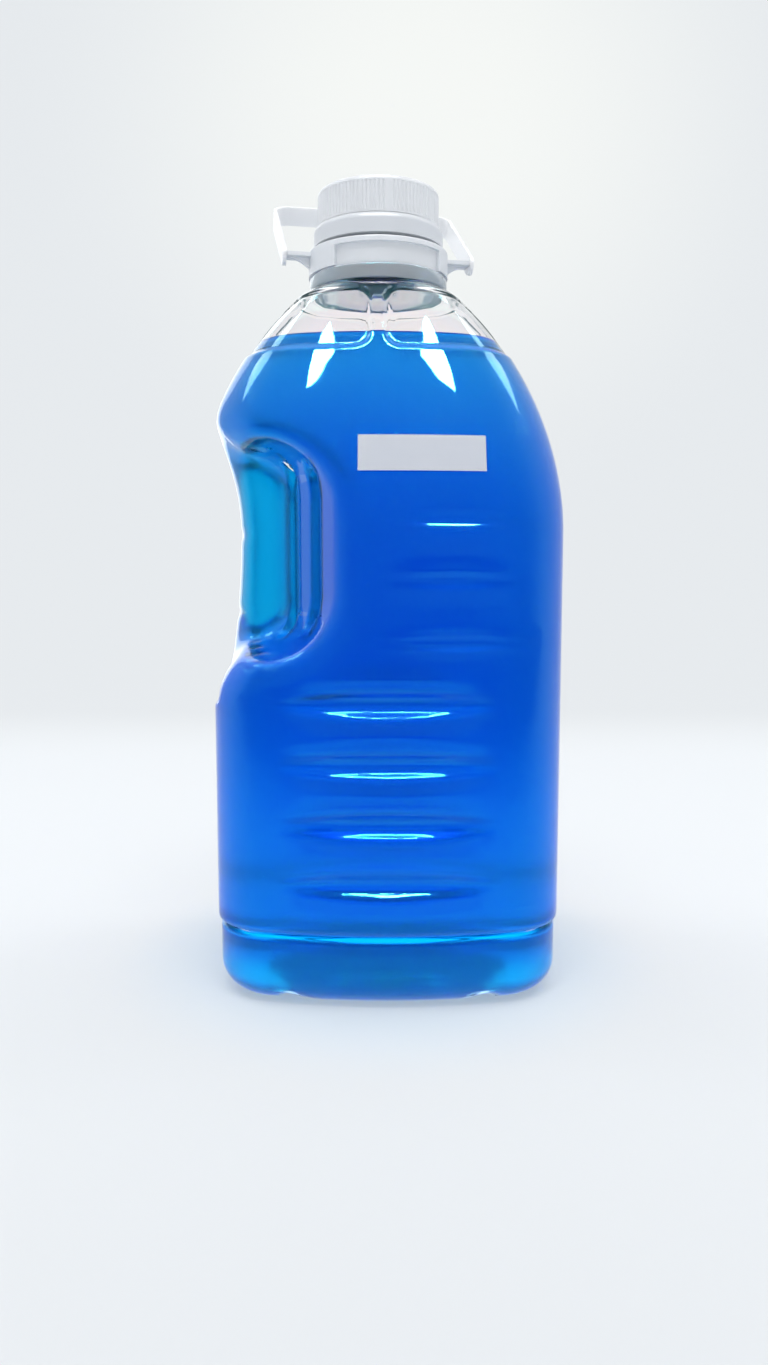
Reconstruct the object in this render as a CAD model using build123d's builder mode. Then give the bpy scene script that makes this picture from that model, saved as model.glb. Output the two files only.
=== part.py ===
from build123d import *
import os
from math import cos, sin, pi, radians

os.makedirs("parts", exist_ok=True)

# Body: a squarish, bowed bottle that stands on the plane z = 0, centred on the Z axis
body_width = 146.0
body_depth = 132.0
body_corner = 27.0
wall = 0.8
shoulder_height = 188.0
shoulder_blend = 18.0

# Base band under the waist groove
base_width = 143.6
base_depth = 129.6
base_corner = 13.0
waist_height = 29.0
waist_gap = 1.8
waist_inset = 3.2
waist_lip = 2.0
push_up_width = 86.0
push_up_rise = 9.0
foot_groove_radius = 7.0
foot_groove_rise = 4.5
foot_groove_reach = 90.0
foot_groove_angle = 55.0

# Neck: its axis stands a little towards the grip side
neck_shift = -4.0
neck_root_height = 289.4
neck_root_radius = 28.6
bore_radius = 20.6
neck_radius = 22.5
ring_height = 5.8
ring_radius = 29.0
neck_top = 327.4
neck_overlap = 1.5
ring_chamfer = 0.8
bead_bottom = 310.0
bead_radius = 24.1
bead_land = 0.6
bead_height = 2.2

# Four sunken panels round the shoulder, parted by raised ribs in front, behind and at both sides
panel_bottom = 261.0
panel_top = 285.5
panel_depth = 1.5
panel_corner = 6.5
panel_rib_width = 6.0
# How full the bottle is
fill_height = 266.5
liquid_gap = 0.2

# Horizontal ribs pressed into the front and back faces
rib_pitch = 23.7
rib_first_height = 50.4
rib_radius = 4.8
rib_depth = 3.8
rib_count = 4
short_rib_count = 3
short_rib_place = 28.5
short_rib_depth = 1.3
short_rib_tilt = 6.6
short_rib_fall = 1.8
side_rib_radius = 4.0
side_rib_depth = 1.5
right_rib_first_height = 61.0
right_rib_pitch = 38.0
right_rib_count = 4
left_rib_first_height = 58.0
left_rib_pitch = 32.5
left_rib_count = 5

# Pinch grip on the left: a pocket in the front, one in the back and a hollow in the side
grip_height = 182.0
grip_mouth_length = 96.0
grip_floor_length = 73.0
grip_mouth_edge = -15.0
grip_floor_edge = -43.0
grip_web = 42.0
grip_mouth_corner = 34.0
grip_floor_corner = 14.0
# Upright flutes in the wall of each pocket, from the floor outwards
flute_radius = 3.4
flute_length = 64.0
flute_drop = 1.0
flute_wall_shares = (0.14, 0.52)
hollow_depth = 10.0
hollow_lip = 3.2
hollow_bottom = 118.0
hollow_top = 233.0
hollow_deepest = 190.0

# Closure and handle
cap_radius = 25.5
cap_wall = 1.5
cap_top_thickness = 1.6
cap_bottom = 315.6
cap_height = 14.4
cap_rounding = 1.8
knurl_count = 90
knurl_radius = 0.55
knurl_depth = 0.35
knurl_start = 0.8
knurl_end_gap = 0.3
knurl_gap_angle = 10.0
knurl_gap_place = 80.0
liner_thickness = 0.9
liner_gap = 0.05
band_bottom = 307.3
band_height = 7.9
band_radius = 27.3
band_wall = 1.4
band_flare = 1.3
band_flare_height = 2.6
band_lip_height = 1.2
collar_height = 10.2
collar_radius = 29.4
collar_wall = 1.6
collar_recess = 1.4
collar_rim = 2.2
collar_rounding = 0.6
collar_gap = 0.1
collar_window_angle = 96.0
collar_yaw = 11.0
running_gap = 0.3
wing_reach = 39.0
wing_width = 8.0
wing_thickness = 1.6
gusset_height = 5.3
gusset_bow = 1.2
gusset_thickness = 2.0
wing_drop = 1.9
strap_length = 52.0
strap_width = 8.0
strap_thickness = 1.6
strap_corner = 6.0
strap_edge = 0.1
strap_rest_angle = 35.0

# Sticker
label_width = 49.0
label_height = 14.0
label_thickness = 0.2
label_gap = 0.05
label_place = 13.0
label_middle = 217.3

overrun = 20.0
parallel_share = 0.99

# How the shoulder's side and front profiles bulge, and how the grip's wall runs from its floor to its mouth
side_curve_shares = (1.95, 0.75)
front_curve_shares = (1.5, 1.45)
shoulder_step_shares = (0.0, 0.1, 0.2, 0.29, 0.37, 0.44, 0.51, 0.59, 0.68, 0.77, 0.86, 0.93, 1.0)
corner_share = 60.0
corner_rise_share = 3.0
side_turn = 8.0
front_turn = 13.5
grip_wall_shares = ((0.0, 0.0), (0.1, 0.2), (0.5, 0.52), (0.88, 0.76), (1.0, 0.94), (1.12, 1.3))

body_start = waist_height + waist_gap / 2
band_end = waist_height - waist_gap / 2
ring_top = neck_root_height + ring_height
half_width = body_width / 2
half_depth = body_depth / 2


def outline(left, right, depth, corner, shift=0):
    # A closed outline of eight tangent arcs: four bowed faces and four round corners. Every outline turns
    # through the same angles, so sections loft smoothly and an inset outline runs parallel to its parent.
    half = (right - left) / 2
    side_cos, side_sin = cos(radians(side_turn)), sin(radians(side_turn))
    front_cos, front_sin = cos(radians(front_turn)), sin(radians(front_turn))
    across = half - corner * side_cos + corner * front_sin
    along = depth + corner * side_sin - corner * front_cos
    spread = (1 - side_cos) * (1 - front_cos) - side_sin * front_sin
    side_radius = (across * (1 - front_cos) - along * front_sin) / spread
    front_radius = (along * (1 - side_cos) - across * side_sin) / spread
    side_end = Vector(half - side_radius * (1 - side_cos), side_radius * side_sin)
    front_end = Vector(front_radius * front_sin, depth - front_radius * (1 - front_cos))
    middle_turn = radians((side_turn + 90 - front_turn) / 2)
    corner_middle = side_end + corner * Vector(cos(middle_turn) - side_cos, sin(middle_turn) - side_sin)
    centre = Vector(left + half, shift)
    quarter = (side_end, corner_middle, front_end)
    points = []
    for flip_x, flip_y in ((1, 1), (-1, 1), (-1, -1), (1, -1)):
        ordered = quarter if flip_x * flip_y > 0 else quarter[::-1]
        points += [Vector(point.X * flip_x, point.Y * flip_y) + centre for point in ordered]
    crowns = [Vector(0, depth), Vector(-half, 0), Vector(0, -depth), Vector(half, 0)]
    arcs = []
    for number, crown in enumerate(crowns):
        start, through, end = points[3 * number:3 * number + 3]
        arcs.append((start, through, end))
        arcs.append((end, crown + centre, points[(3 * number + 3) % len(points)]))
    return arcs


def base_band(inset):
    # The foot of the bottle: rounded below, with a soft lip under the waist groove
    with BuildPart() as band:
        with BuildSketch(Plane.XY.offset(inset)):
            reach = base_width / 2 - inset
            with BuildLine():
                for arc in outline(-reach, reach, base_depth / 2 - inset, body_corner - inset):
                    ThreePointArc(*arc)
            make_face()
        extrude(amount=band_end - 2 * inset)
        fillet(band.edges().group_by(Axis.Z)[0], base_corner - inset)
        fillet(band.edges().group_by(Axis.Z)[-1], waist_lip - inset)
    return band.part


def waist_core(inset):
    with BuildPart() as core:
        with BuildSketch(Plane.XY.offset(band_end - inset)):
            reach = base_width / 2 - waist_inset - inset
            with BuildLine():
                for arc in outline(-reach, reach, base_depth / 2 - waist_inset - inset, body_corner - waist_inset - inset):
                    ThreePointArc(*arc)
            make_face()
        extrude(amount=waist_gap + 2 * inset)
    return core.part


def straight_body(inset):
    with BuildPart() as body:
        with BuildSketch(Plane.XY.offset(body_start + inset)):
            with BuildLine():
                for arc in outline(inset - half_width, half_width - inset, half_depth - inset, body_corner - inset):
                    ThreePointArc(*arc)
            make_face()
        extrude(amount=shoulder_height - shoulder_blend - body_start - inset)
        fillet(body.edges().group_by(Axis.Z)[0], waist_lip - inset)
    return body.part


def shoulder(inset):
    # Sections rise from the body's outline to the round neck root, about the neck's own axis
    with BuildPart() as dome:
        with BuildSketch(Plane.XY.offset(shoulder_height - shoulder_blend)):
            with BuildLine():
                for arc in outline(inset - half_width, half_width - inset, half_depth - inset, body_corner - inset):
                    ThreePointArc(*arc)
            make_face()
        for share in shoulder_step_shares:
            side = (1 - share ** side_curve_shares[0]) ** side_curve_shares[1]
            front = (1 - share ** front_curve_shares[0]) ** front_curve_shares[1]
            reach = neck_root_radius + (half_width - neck_shift - neck_root_radius) * side
            depth = neck_root_radius + (half_depth - neck_root_radius) * front
            flat = half_width + neck_shift
            left = neck_shift - (reach ** -corner_share + flat ** -corner_share) ** (-1 / corner_share)
            corner = body_corner + (neck_root_radius - body_corner) * share ** corner_rise_share
            height = shoulder_height + (neck_root_height - shoulder_height) * share
            with BuildSketch(Plane.XY.offset(height)):
                with BuildLine():
                    for arc in outline(left + inset, neck_shift + reach - inset, depth - inset, corner - inset):
                        ThreePointArc(*arc)
                make_face()
        loft()
    return dome.part


def grip_pocket(inset):
    # One pocket of the pinch grip, cut from the back face inwards and open to the left
    floor_depth = grip_web / 2 - inset
    mouth_depth = half_depth - floor_depth
    left = -half_width - overrun
    with BuildPart() as pocket:
        for depth_share, spread_share in grip_wall_shares:
            edge = grip_floor_edge + (grip_mouth_edge - grip_floor_edge) * spread_share + inset
            length = grip_floor_length + (grip_mouth_length - grip_floor_length) * spread_share
            corner = grip_floor_corner + (grip_mouth_corner - grip_floor_corner) * spread_share
            depth = floor_depth + mouth_depth * depth_share
            with BuildSketch(Plane((0, depth, grip_height), x_dir=(1, 0, 0), z_dir=(0, -1, 0))):
                with BuildLine():
                    for arc in outline(left, edge, length / 2 + inset, corner + inset):
                        ThreePointArc(*arc)
                make_face()
        loft()
    return pocket.part


def side_hollow(inset):
    # The hollow for the palm in the left side, between the two pockets
    floor = hollow_depth - half_width + inset
    lip = hollow_lip - half_width + inset
    bottom = hollow_bottom - inset
    outside = -half_width - overrun
    with BuildPart() as hollow:
        with BuildSketch(Plane.XZ):
            with BuildLine():
                Spline(
                    (outside, hollow_top + overrun),
                    (-half_width, hollow_top + inset),
                    (floor, hollow_deepest),
                    (lip, bottom),
                )
                Polyline((lip, bottom), (outside, bottom), (outside, hollow_top + overrun))
            make_face()
        extrude(amount=body_depth, both=True)
    return hollow.part


def bar(length, radius, middle, turn):
    # A lying round bar that presses a groove into a bowed face, which gives it its lens shape
    with BuildPart() as tool:
        with BuildSketch(Plane.YZ):
            Circle(radius)
        extrude(amount=length / 2, both=True)
    return Location(middle, (0, 0, turn)) * tool.part


def rib_bars(inset):
    bars = []
    radius = rib_radius + inset
    depth = half_depth - rib_depth + rib_radius
    for number in range(rib_count):
        height = rib_first_height + rib_pitch * number
        for side in (-1, 1):
            bars.append(bar(body_width, radius, (0, side * depth, height), 0))
    short_depth = half_depth - short_rib_fall - short_rib_depth + rib_radius
    for number in range(rib_count, rib_count + short_rib_count):
        height = rib_first_height + rib_pitch * number
        for side in (-1, 1):
            middle = (short_rib_place, side * short_depth, height)
            bars.append(bar(half_width, radius, middle, -side * short_rib_tilt))
    side_radius = side_rib_radius + inset
    side_depth = half_width - side_rib_depth + side_rib_radius
    for number in range(right_rib_count):
        height = right_rib_first_height + right_rib_pitch * number
        bars.append(bar(body_depth, side_radius, (side_depth, 0, height), 90))
    for number in range(left_rib_count):
        height = left_rib_first_height + left_rib_pitch * number
        share = (height - hollow_bottom) / (hollow_deepest - hollow_bottom)
        sunk = hollow_depth * sin(pi / 2 * share) if share > 0 else 0
        bars.append(bar(body_depth, side_radius, (sunk - side_depth, 0, height), 90))
    return bars


def grip_flutes(inset):
    # Upright bars with round ends that press a flute into the wall of each pocket
    flutes = []
    radius = flute_radius + inset
    low = grip_height - flute_drop - flute_length / 2
    for share in flute_wall_shares:
        edge = grip_floor_edge + (grip_mouth_edge - grip_floor_edge) * share
        depth = grip_web / 2 + (half_depth - grip_web / 2) * share
        for side in (-1, 1):
            with BuildPart() as flute:
                with Locations((edge, side * depth, low)):
                    Cylinder(radius, flute_length, align=(Align.CENTER, Align.CENTER, Align.MIN))
                with Locations((edge, side * depth, low), (edge, side * depth, low + flute_length)):
                    Sphere(radius)
            flutes.append(flute.part)
    return flutes


def shoulder_panels(inset):
    # Each panel is a block with round corners, less the shoulder drawn in by the panel's depth
    near = panel_rib_width / 2 - inset
    floor = shoulder(panel_depth + inset)
    with BuildPart() as block:
        with Locations((neck_shift + near, near, panel_bottom - inset)):
            Box(
                half_width,
                half_depth,
                panel_top - panel_bottom + 2 * inset,
                align=(Align.MIN, Align.MIN, Align.MIN),
            )
        near_edges = block.edges().filter_by(Axis.Y).group_by(Axis.X)[0]
        near_edges += block.edges().filter_by(Axis.X).group_by(Axis.Y)[0]
        fillet(near_edges, panel_corner + inset)
    quarter = block.part
    half = [quarter, mirror(quarter, about=Plane.XZ)]
    far = Plane((neck_shift, 0, 0), x_dir=(0, 1, 0), z_dir=(1, 0, 0))
    blocks = half + [mirror(piece, about=far) for piece in half]
    with BuildPart() as panels:
        add(blocks)
        add(floor, mode=Mode.SUBTRACT)
    return panels.part


def push_up(inset):
    # The raised middle of the base and the four grooves that part its feet
    radius = ((push_up_width / 2) ** 2 + push_up_rise ** 2) / (2 * push_up_rise)
    with BuildPart() as recess:
        with Locations((0, 0, push_up_rise - radius)):
            Sphere(radius + inset)
    tools = [recess.part]
    for turn in (foot_groove_angle, -foot_groove_angle):
        middle = (0, 0, foot_groove_rise - foot_groove_radius)
        tools.append(bar(2 * foot_groove_reach, foot_groove_radius + inset, middle, turn))
    return tools


def filled_form(inset):
    # The bottle's shape up to the neck root as one solid, drawn in by the inset all round
    pocket = grip_pocket(inset)
    tools = [pocket, mirror(pocket, about=Plane.XZ), side_hollow(inset)]
    tools += rib_bars(inset) + grip_flutes(inset) + push_up(inset) + [shoulder_panels(inset)]
    with BuildPart() as form:
        add([base_band(inset), waist_core(inset), straight_body(inset), shoulder(inset)])
        add(tools, mode=Mode.SUBTRACT)
    return form.part


# The bottle: one blown shell with its neck finish
outer_form = filled_form(0)
inner_form = filled_form(wall)
liquid_form = filled_form(wall + liquid_gap)
neck_bottom = neck_root_height - neck_overlap

with BuildPart() as bottle:
    add(outer_form)
    with BuildSketch(Plane.XY.offset(neck_root_height - neck_overlap)):
        with Locations((neck_shift, 0)):
            Circle(neck_radius)
    extrude(amount=neck_top - neck_bottom)
    with BuildSketch(Plane.XY.offset(neck_root_height)):
        with Locations((neck_shift, 0)):
            Circle(ring_radius)
    extrude(amount=ring_height)
    ring_edges = bottle.edges().filter_by(GeomType.CIRCLE).filter_by_position(Axis.Z, ring_top, ring_top)
    chamfer(ring_edges.sort_by(SortBy.RADIUS)[-1], ring_chamfer)
    with BuildSketch(Plane.XZ.offset(0)):
        with BuildLine():
            Polyline(
                (neck_shift + bore_radius, bead_bottom),
                (neck_shift + bead_radius, bead_bottom),
                (neck_shift + bead_radius, bead_bottom + bead_land),
                (neck_shift + neck_radius, bead_bottom + bead_height),
                (neck_shift + bore_radius, bead_bottom + bead_height),
                close=True,
            )
        make_face()
    revolve(axis=Axis((neck_shift, 0, 0), (0, 0, 1)))
    add(inner_form, mode=Mode.SUBTRACT)
    with BuildSketch(Plane.XY.offset(neck_root_height - neck_overlap)):
        with Locations((neck_shift, 0)):
            Circle(bore_radius)
    extrude(amount=neck_top + overrun - neck_bottom, mode=Mode.SUBTRACT)
bottle.part.label = "bottle"

# The liquid: fills the bottle up to the fill line
with BuildPart() as detergent:
    add(liquid_form)
    split(bisect_by=Plane.XY.offset(fill_height), keep=Keep.BOTTOM)
detergent.part.label = "detergent"

# Screw cap: knurled outside, hollow inside
cap_top = cap_bottom + cap_height
cap_inside = cap_radius - cap_wall
with BuildPart() as screw_cap:
    with BuildSketch(Plane.XY.offset(cap_bottom)):
        with Locations((neck_shift, 0)):
            Circle(cap_radius)
    extrude(amount=cap_height)
    fillet(screw_cap.edges().group_by(Axis.Z)[-1], cap_rounding)
    with BuildSketch(Plane.XY.offset(cap_bottom)):
        with Locations((neck_shift, 0)):
            Circle(cap_inside)
    extrude(amount=cap_height - cap_top_thickness, mode=Mode.SUBTRACT)
    with BuildSketch(Plane.XY.offset(cap_bottom + knurl_start)):
        with Locations((neck_shift, 0)):
            reach = cap_radius + knurl_radius - knurl_depth
            first = knurl_gap_angle / 2 - knurl_gap_place
            with PolarLocations(reach, knurl_count, first, 360 - knurl_gap_angle, endpoint=True):
                Circle(knurl_radius)
    extrude(amount=cap_height - cap_rounding - knurl_start - knurl_end_gap, mode=Mode.SUBTRACT)
screw_cap.part.label = "screw_cap"

with BuildPart() as cap_liner:
    with BuildSketch(Plane.XY.offset(cap_top - cap_top_thickness - liner_gap - liner_thickness)):
        with Locations((neck_shift, 0)):
            Circle(cap_inside - running_gap)
    extrude(amount=liner_thickness)
cap_liner.part.label = "cap_liner"

# Tamper band: flares out under the cap, with a lip that hooks under the bead on the neck
band_top = band_bottom + band_height
with BuildPart() as tamper_band:
    with BuildSketch(Plane.XZ):
        with BuildLine():
            inner = neck_shift + band_radius - band_wall
            outer = neck_shift + band_radius
            Polyline(
                (outer - band_flare, band_top),
                (outer - band_flare - band_wall, band_top),
                (inner, band_top - band_flare_height),
                (inner, band_bottom + band_lip_height),
                (neck_shift + neck_radius + running_gap, band_bottom + band_lip_height),
                (neck_shift + neck_radius + running_gap, band_bottom),
                (outer, band_bottom),
                (outer, band_top - band_flare_height),
            )
            TangentArc((outer, band_top - band_flare_height), (outer - band_flare, band_top), tangent=(0, 1))
        make_face()
    revolve(axis=Axis((neck_shift, 0, 0), (0, 0, 1)))
tamper_band.part.label = "tamper_band"

# Handle collar: a channel ring with a recessed wall in front and behind, and two wings
collar_bottom = ring_top + collar_gap
collar_top = collar_bottom + collar_height
collar_bore = neck_radius + running_gap
wing_height = collar_top - wing_drop
with BuildPart() as collar_ring:
    with BuildSketch(Plane.XZ):
        with BuildLine():
            Polyline(
                (collar_bore, collar_bottom),
                (collar_bore + collar_wall, collar_bottom),
                (collar_bore + collar_wall, collar_top - collar_rim),
                (collar_radius - collar_recess - collar_wall, collar_top - collar_rim),
                (collar_radius - collar_recess - collar_wall, collar_bottom),
                (collar_radius, collar_bottom),
                (collar_radius, collar_top),
                (collar_bore, collar_top),
                close=True,
            )
        make_face()
    revolve(axis=Axis.Z)
    fillet(collar_ring.edges().group_by(Axis.Z)[-1].sort_by(SortBy.RADIUS)[-1], collar_rounding)
    with BuildSketch(Plane.XY.offset(collar_bottom)):
        far = collar_radius + overrun
        half_window = radians(collar_window_angle / 2)
        with PolarLocations(0, 2):
            Polygon(
                (0, 0),
                (far * sin(half_window), far * cos(half_window)),
                (-far * sin(half_window), far * cos(half_window)),
                align=None,
            )
        Circle(collar_radius - collar_recess, mode=Mode.SUBTRACT)
    extrude(amount=collar_height - collar_rim, mode=Mode.SUBTRACT)
    with BuildSketch(Plane.XY.offset(wing_height - wing_thickness / 2)):
        Rectangle(2 * wing_reach, wing_width)
        Circle(collar_radius - collar_wall, mode=Mode.SUBTRACT)
    extrude(amount=wing_thickness)
    gusset_root = collar_radius - collar_wall / 2
    gusset_top = wing_height - wing_thickness / 2
    for turn in (0, 180):
        with BuildSketch(Plane.XZ.rotated((0, 0, turn))):
            with BuildLine():
                Line((wing_reach, gusset_top), (gusset_root, gusset_top))
                Line((gusset_root, gusset_top), (gusset_root, gusset_top - gusset_height))
                SagittaArc((gusset_root, gusset_top - gusset_height), (wing_reach, gusset_top), gusset_bow)
            make_face()
        extrude(amount=gusset_thickness / 2, both=True)
handle_collar = Location((neck_shift, 0, 0), (0, 0, collar_yaw)) * collar_ring.part
handle_collar.label = "handle_collar"

# Carrying strap: a U of flat ribbon whose ends turn on the wing tips
strap_span = 2 * (wing_reach + running_gap)
across = Vector(cos(radians(collar_yaw)), sin(radians(collar_yaw)), 0)
level = Vector(-sin(radians(collar_yaw)), cos(radians(collar_yaw)), 0)
rise = level * cos(radians(strap_rest_angle)) + Vector(0, 0, 1) * sin(radians(strap_rest_angle))
strap_plane = Plane(Vector(neck_shift, 0, wing_height), x_dir=across, z_dir=across.cross(rise))
with BuildPart() as handle_strap:
    with BuildSketch(strap_plane):
        half_span = strap_span / 2
        for grow, mode in ((strap_thickness, Mode.ADD), (0, Mode.SUBTRACT)):
            reach = half_span + grow
            top = strap_length - strap_thickness + grow
            foot = -strap_width / 2
            with BuildLine():
                FilletPolyline(
                    (-reach, foot),
                    (-reach, top),
                    (reach, top),
                    (reach, foot),
                    radius=strap_corner + grow,
                )
                Line((reach, foot), (-reach, foot))
            make_face(mode=mode)
    extrude(amount=strap_width / 2, both=True)
    foot_edges = handle_strap.edges().filter_by(lambda edge: edge.length < 2 * strap_thickness)
    foot_edges = foot_edges.filter_by(lambda edge: abs(edge.tangent_at(0).dot(across)) > parallel_share)
    fillet(foot_edges, strap_width / 2 - strap_edge)
handle_strap.part.label = "handle_strap"

# Sticker: a thin sheet that follows the front of the shoulder
with BuildPart() as label:
    with Locations((label_place, -half_depth, label_middle)):
        Box(label_width, half_depth, label_height)
    add(shoulder(-label_gap - label_thickness), mode=Mode.INTERSECT)
    add(shoulder(-label_gap), mode=Mode.SUBTRACT)
label.part.label = "label"

export_step(bottle.part, "parts/bottle.step")
export_step(detergent.part, "parts/detergent.step")
export_step(screw_cap.part, "parts/screw_cap.step")
export_step(cap_liner.part, "parts/cap_liner.step")
export_step(tamper_band.part, "parts/tamper_band.step")
export_step(handle_collar, "parts/handle_collar.step")
export_step(handle_strap.part, "parts/handle_strap.step")
export_step(label.part, "parts/label.step")
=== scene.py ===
import bpy
import mathutils
import math
import numpy as np
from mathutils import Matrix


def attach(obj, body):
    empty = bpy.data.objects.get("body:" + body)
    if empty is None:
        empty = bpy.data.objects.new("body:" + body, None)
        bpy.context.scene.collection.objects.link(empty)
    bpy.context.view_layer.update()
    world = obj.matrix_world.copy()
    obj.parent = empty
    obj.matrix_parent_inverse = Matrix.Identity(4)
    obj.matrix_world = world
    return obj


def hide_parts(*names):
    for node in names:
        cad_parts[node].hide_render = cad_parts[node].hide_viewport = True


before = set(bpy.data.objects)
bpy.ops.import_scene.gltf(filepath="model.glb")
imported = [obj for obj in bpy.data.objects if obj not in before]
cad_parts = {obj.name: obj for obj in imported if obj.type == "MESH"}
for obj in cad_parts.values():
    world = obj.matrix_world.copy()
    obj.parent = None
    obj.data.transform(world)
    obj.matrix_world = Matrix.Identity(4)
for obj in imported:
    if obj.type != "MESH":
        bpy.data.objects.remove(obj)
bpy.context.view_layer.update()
mm = 0.001
print("frame loaded:", sorted(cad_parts))

# What a user would change on the bottle, in millimetres
bottle = {
    "width": 146.0, "depth": 132.0, "corner": 27.0, "wall": 0.8,
    "sideTurn": math.radians(8.0), "frontTurn": math.radians(13.5),
    "baseWidth": 143.6, "baseCorner": 13.0,
    "waistHeight": 29.0, "waistGap": 1.8, "waistInset": 3.2, "waistLip": 2.0,
    "pushUpWidth": 86.0, "pushUpRise": 9.0, "pushUpBlend": 2.0,
    "footRadius": 7.0, "footRise": 4.5, "footTurn": math.radians(55.0), "footBlend": 1.5,
    "shoulderHeight": 188.0, "neckRootHeight": 289.4, "neckRoot": 28.6, "neckShift": -4.0,
    "bore": 20.6, "neck": 22.5, "ring": 29.0, "ringHeight": 5.8, "neckTop": 327.4,
    "beadBottom": 310.0, "bead": 24.1, "beadLand": 0.6, "beadHeight": 2.2,
}
# How the section shrinks from the shoulder to the neck root
dome = {
    "reachPower": 1.95, "reachRoot": 0.75, "depthPower": 1.5, "depthRoot": 1.45, "cornerPower": 3,
    "flatPower": 60.0, "settle": 18.0, "leastCorner": 2.0,
}
ribs = {
    "pitch": 23.7, "first": 50.4, "radius": 4.8, "depth": 3.8, "blend": 0.8, "count": 4,
    "shortCount": 3, "shortPlace": 28.5, "shortDepth": 1.3, "shortTilt": math.radians(6.6), "shortFall": 1.8,
    "shortBlend": 0.5, "shortStart": -6.0, "shortSkip": 9.0, "leanFrom": 180.0, "lean": 0.06,
    "sideRadius": 4.0, "sideDepth": 1.5, "sideBlend": 1.2,
    "rightFirst": 61.0, "rightPitch": 38.0, "rightCount": 4,
    "leftFirst": 58.0, "leftPitch": 32.5, "leftCount": 5, "leftRaise": 0.8,
}
grip = {
    "height": 182.0, "mouthLength": 96.0, "floorLength": 73.0, "mouthEdge": -12.5, "floorEdge": -45.0,
    "web": 42.0, "mouthCorner": 34.0, "floorCorner": 14.0, "slope": 0.85, "floorBlend": 5.0,
    "wallShares": (-0.3, 0.0, 0.1, 0.5, 0.88, 1.0, 1.12),
    "wallSpread": (-0.5, 0.0, 0.15, 0.5, 0.76, 0.94, 1.3),
    "flutes": (-39.1, -28.4), "fluteBottom": 149.0, "fluteTop": 213.0, "fluteRadius": 3.4, "fluteBlend": 1.2,
    "edgeBlend": 4.5, "sideBlend": 14.0, "sideStart": -48.0, "sideEnd": -66.0,
}
# The palm hollow beside the grip
hollow = {
    "depth": 10.0, "lip": 3.2, "bottom": 118.0, "top": 233.0, "deepest": 190.0, "rise": 3.0, "blend": 3.0,
    "low": 100.0, "high": 240.0, "samples": 281,
}
panels = {"bottom": 261.0, "top": 285.5, "depth": 1.5, "corner": 6.5, "rib": 6.0, "edge": 0.55}
halfWidth = bottle["width"] / 2
halfDepth = bottle["depth"] / 2


def addMesh(name, points, *faceBlocks):
    # One smooth mesh from an array of corners and one or more arrays of faces
    mesh = bpy.data.meshes.new(name)
    mesh.from_pydata(points.tolist(), [], [face for block in faceBlocks for face in block.tolist()])
    mesh.polygons.foreach_set("use_smooth", np.full(len(mesh.polygons), True))
    mesh.update()
    obj = bpy.data.objects.new(name, mesh)
    bpy.context.scene.collection.objects.link(obj)
    return obj


def ringFaces(rows, columns):
    # Faces of a closed tube: each corner joins its neighbour round the ring and the ring above
    row, column = np.meshgrid(np.arange(rows - 1), np.arange(columns), indexing="ij")
    a = row * columns + column
    b = row * columns + (column + 1) % columns
    return np.stack([a, b, b + columns, a + columns], -1).reshape(-1, 4)


def poleFaces(first, columns, pole, upward):
    # A fan of triangles closes a ring on its pole
    column = np.arange(columns)
    nextColumn = (column + 1) % columns
    order = (nextColumn, column) if upward else (column, nextColumn)
    return np.stack([first + order[0], first + order[1], np.full(columns, pole)], -1)


def smoothMax(a, b, blend):
    # The larger of two distances, rounded over where they are closer than the blend
    h = np.clip(0.5 + 0.5 * (a - b) / blend, 0, 1)
    return b + (a - b) * h + blend * h * (1 - h)


def smoothStep(low, high, value):
    # Nought at the low value, one at the high one, and 3t^2 - 2t^3 between them
    t = np.clip((value - low) / (high - low), 0, 1)
    return t * t * (3 - 2 * t)


def outlineDistance(x, y, half, depth, corner, centre):
    # Signed distance to eight tangent arcs: four bowed faces and four round corners. Each face's radius
    # follows from the half width, the half depth, the corner and the angle that each arc turns through.
    sideCos, sideSin = math.cos(bottle["sideTurn"]), math.sin(bottle["sideTurn"])
    frontCos, frontSin = math.cos(bottle["frontTurn"]), math.sin(bottle["frontTurn"])
    across = half - corner * sideCos + corner * frontSin
    along = depth + corner * sideSin - corner * frontCos
    spread = (1 - sideCos) * (1 - frontCos) - sideSin * frontSin
    sideRadius = (across * (1 - frontCos) - along * frontSin) / spread
    frontRadius = (along * (1 - sideCos) - across * sideSin) / spread
    px, py = np.abs(x - centre), np.abs(y)
    sideX = half - sideRadius
    frontY = depth - frontRadius
    cornerX = sideX + (sideRadius - corner) * sideCos
    cornerY = (sideRadius - corner) * sideSin
    toSide = np.hypot(px - sideX, py) - sideRadius
    toFront = np.hypot(px, py - frontY) - frontRadius
    toCorner = np.hypot(px - cornerX, py - cornerY) - corner
    onSide = py * sideCos < (px - sideX) * sideSin
    onFront = px * frontCos < (py - frontY) * frontSin
    return np.where(onSide, toSide, np.where(onFront, toFront, toCorner))


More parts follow.
